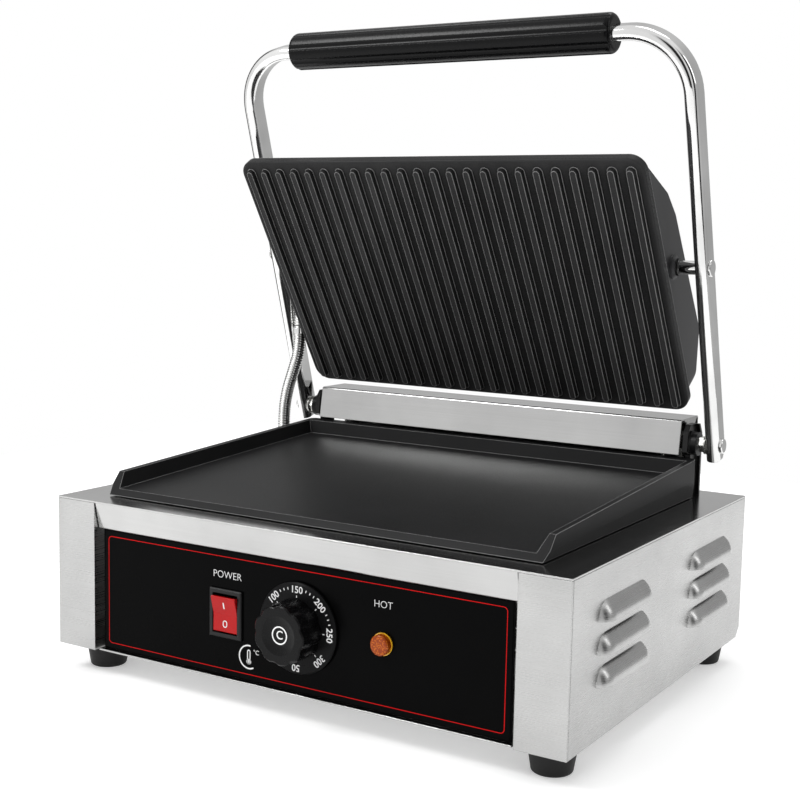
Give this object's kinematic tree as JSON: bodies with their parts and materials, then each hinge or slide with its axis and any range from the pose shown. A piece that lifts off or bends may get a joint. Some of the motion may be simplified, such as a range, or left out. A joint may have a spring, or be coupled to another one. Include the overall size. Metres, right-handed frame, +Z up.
{
  "type": "contact grill",
  "caption": "Counter-top panini press, stainless box with a smooth lower griddle and a ribbed upper griddle hung between the arms of a chrome U-shaped handle.",
  "frame": {"origin": "centre of the footprint, on the surface the feet stand on", "axes": "+Z up, -Y is the front with the controls, +X is the user's right, lid shown open"},
  "size_m": [0.424, 0.3506, 0.4784],
  "materials": {
    "stainless": "brushed stainless sheet",
    "black_panel": "semi-gloss black film",
    "rubber": "matt black rubber",
    "plated_steel": "zinc-plated or bright steel",
    "griddle": "satin black coated casting",
    "element": "oxidised sheath",
    "black_paint": "black painted steel",
    "black_plastic": "matt black",
    "housing": "dark grey enamel",
    "chrome": "polished chrome",
    "grip": "black phenolic",
    "knob": "black phenolic",
    "red_plastic": "gloss red, translucent",
    "amber": "translucent amber",
    "copper": "bare copper",
    "wire": "glass-fibre sleeving"
  },
  "bodies": {
    "base": {"side_panel_right": "stainless", "side_panel_left": "stainless", "top_deck": "stainless", "control_panel": "black_panel", "panel_overlay": "black_panel", "rear_panel": "stainless", "bottom_plate": "stainless", "foot_front_left": "rubber", "foot_front_right": "rubber", "foot_rear_left": "rubber", "foot_rear_right": "rubber", "foot_screws": "plated_steel", "lower_plate": "griddle", "griddle_studs": "plated_steel", "lower_element": "element", "lower_element_clamp": "plated_steel", "lower_heat_shield": "plated_steel", "hinge_bracket_left": "black_paint", "hinge_bracket_right": "black_paint", "hinge_bushing_left": "black_plastic", "hinge_bushing_right": "black_plastic", "counterbalance_spring_left": "plated_steel", "counterbalance_spring_right": "plated_steel", "bracket_screws": "plated_steel", "rear_cover": "stainless", "cover_screws": "plated_steel", "rear_panel_screws": "plated_steel", "conduit_lower": "chrome", "conduit_gland_lower": "chrome", "switch_housing": "black_plastic", "thermostat_body": "black_plastic", "thermostat_capillary": "copper", "lamp_body": "black_plastic", "lamp_lens": "amber", "terminal_block": "black_plastic", "cable_gland": "black_plastic", "internal_wiring": "wire"},
    "arms": {"handle_tube": "chrome", "handle_grip": "grip", "hinge_shaft": "plated_steel", "hinge_bolts": "chrome", "pivot_pin_left": "chrome", "pivot_pin_right": "chrome", "pivot_rings": "black_paint", "conduit_clip": "chrome"},
    "lid_plate": {"upper_plate": "griddle", "upper_housing": "housing", "housing_screws": "plated_steel", "upper_element": "element", "upper_element_clamp": "plated_steel", "conduit_upper": "chrome", "conduit_gland_upper": "chrome"},
    "knob": {"thermostat_knob": "knob", "dial_skirt": "knob", "thermostat_shaft": "plated_steel"},
    "rocker": {"switch_rocker": "red_plastic"}
  },
  "joints": [
    {"name": "lid_hinge", "type": "hinge", "parent": "base", "child": "arms", "pos_m": [0, 0.1285, 0.17], "axis": [1, 0, 0], "range_deg": [-10, 70.7], "deforming": ["conduit_lower"]},
    {"name": "plate_tilt", "type": "hinge", "parent": "arms", "child": "lid_plate", "pos_m": [0, 0.0864, 0.30352], "axis": [1, 0, 0], "range_deg": [-10, 1.6], "deforming": ["conduit_upper"]},
    {"name": "thermostat_turn", "type": "hinge", "parent": "base", "child": "knob", "pos_m": [0.008, -0.1575, 0.065], "axis": [0, -1, 0], "range_deg": [-300, 0]},
    {"name": "switch_rock", "type": "hinge", "parent": "base", "child": "rocker", "pos_m": [-0.053, -0.1499, 0.0645], "axis": [1, 0, 0], "range_deg": [-14, 0]}
  ],
  "couplings": [
    {"joint": "plate_tilt", "follows": "lid_hinge", "ratio": -0.13784}
  ]
}
